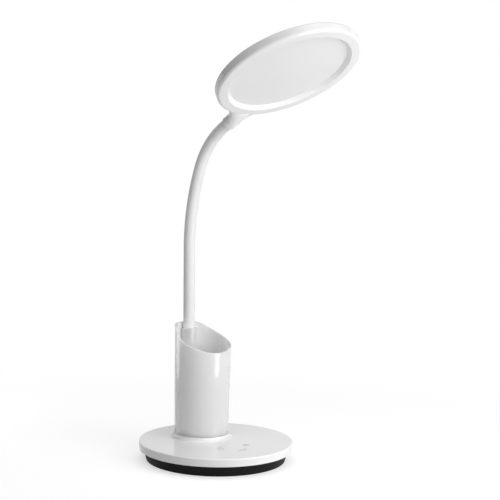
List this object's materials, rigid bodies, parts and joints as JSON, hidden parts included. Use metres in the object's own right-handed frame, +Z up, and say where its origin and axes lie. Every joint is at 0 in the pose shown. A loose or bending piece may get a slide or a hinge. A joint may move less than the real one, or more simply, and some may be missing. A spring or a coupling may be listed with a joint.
{
  "type": "desk lamp",
  "caption": "Desk lamp with a round flat base, a slanted pen cup behind its middle, a bendable sleeved neck and a flat round lamp head.",
  "frame": {"origin": "middle of the round base on the desk", "axes": "-Y to the front under the lamp head, +X to the right seen from the front, +Z up"},
  "size_m": [0.1648, 0.243, 0.448],
  "materials": {
    "white_shell": "smooth satin gloss",
    "black_tray": "fine matte",
    "black_rubber": "matte rubber",
    "grey_iron": "painted steel plate",
    "zinc_steel": "zinc plated",
    "nickel_steel": "nickel plated",
    "circuit_board": "solder mask",
    "copper": "copper spring",
    "wire_cover": "soft wire cover",
    "white_sleeve": "matte silicone",
    "neck_steel": "wound steel",
    "opal_panel": "opal, unlit",
    "clear_panel": "clear panel",
    "reflector": "white film",
    "light_chip": "phosphor, unlit"
  },
  "bodies": {
    "base": {"base_cover": "white_shell", "base_tray": "black_tray", "weight_plate": "grey_iron", "weight_screws": "zinc_steel", "base_screws": "zinc_steel", "cup_screws": "zinc_steel", "rubber_feet": "black_rubber", "power_inlet": "nickel_steel", "inlet_board": "circuit_board", "control_board": "circuit_board", "touch_electrodes": "copper", "base_wires": "wire_cover", "pen_cup": "white_shell", "neck_stem": "zinc_steel", "stem_washer": "zinc_steel", "stem_nut": "zinc_steel", "neck_sleeve_1": "white_sleeve", "neck_core_1": "neck_steel"},
    "neck_link_1": {"neck_sleeve_2": "white_sleeve", "neck_core_2": "neck_steel"},
    "neck_link_2": {"neck_sleeve_3": "white_sleeve", "neck_core_3": "neck_steel"},
    "neck_link_3": {"neck_sleeve_4": "white_sleeve", "neck_core_4": "neck_steel"},
    "neck_link_4": {"neck_sleeve_5": "white_sleeve", "neck_core_5": "neck_steel"},
    "neck_link_5": {"neck_sleeve_6": "white_sleeve", "neck_core_6": "neck_steel"},
    "neck_link_6": {"neck_sleeve_7": "white_sleeve", "neck_core_7": "neck_steel"},
    "head": {"neck_sleeve_8": "white_sleeve", "neck_core_8": "neck_steel", "head_bezel": "white_shell", "head_back_cover": "white_shell", "socket_ring": "white_shell", "diffuser": "opal_panel", "light_guide": "clear_panel", "reflector_sheet": "reflector", "led_strip": "circuit_board", "led_chips": "light_chip", "neck_end_fitting": "nickel_steel", "neck_clamp": "zinc_steel", "clamp_screws": "zinc_steel", "head_wires": "wire_cover"}
  },
  "joints": [
    {"name": "neck_bend_1", "type": "hinge", "parent": "base", "child": "neck_link_1", "pos_m": [0, 0.04746, 0.16249], "axis": [1, 0, 0], "range_deg": [-22, 22]},
    {"name": "neck_sway_2", "type": "hinge", "parent": "neck_link_1", "child": "neck_link_2", "pos_m": [0, 0.04809, 0.19249], "axis": [0, 0.9998, -0.0209], "range_deg": [-22, 22]},
    {"name": "neck_bend_3", "type": "hinge", "parent": "neck_link_2", "child": "neck_link_3", "pos_m": [0, 0.04872, 0.22248], "axis": [1, 0, 0], "range_deg": [-22, 22]},
    {"name": "neck_sway_4", "type": "hinge", "parent": "neck_link_3", "child": "neck_link_4", "pos_m": [0, 0.04744, 0.25243], "axis": [0, 0.9944, 0.1059], "range_deg": [-22, 22]},
    {"name": "neck_bend_5", "type": "hinge", "parent": "neck_link_4", "child": "neck_link_5", "pos_m": [0, 0.04238, 0.28198], "axis": [1, 0, 0], "range_deg": [-22, 22]},
    {"name": "neck_sway_6", "type": "hinge", "parent": "neck_link_5", "child": "neck_link_6", "pos_m": [0, 0.03361, 0.31065], "axis": [0, 0.9358, 0.3525], "range_deg": [-22, 22]},
    {"name": "neck_bend_7", "type": "hinge", "parent": "neck_link_6", "child": "head", "pos_m": [0, 0.01825, 0.33623], "axis": [1, 0, 0], "range_deg": [-22, 22]}
  ]
}
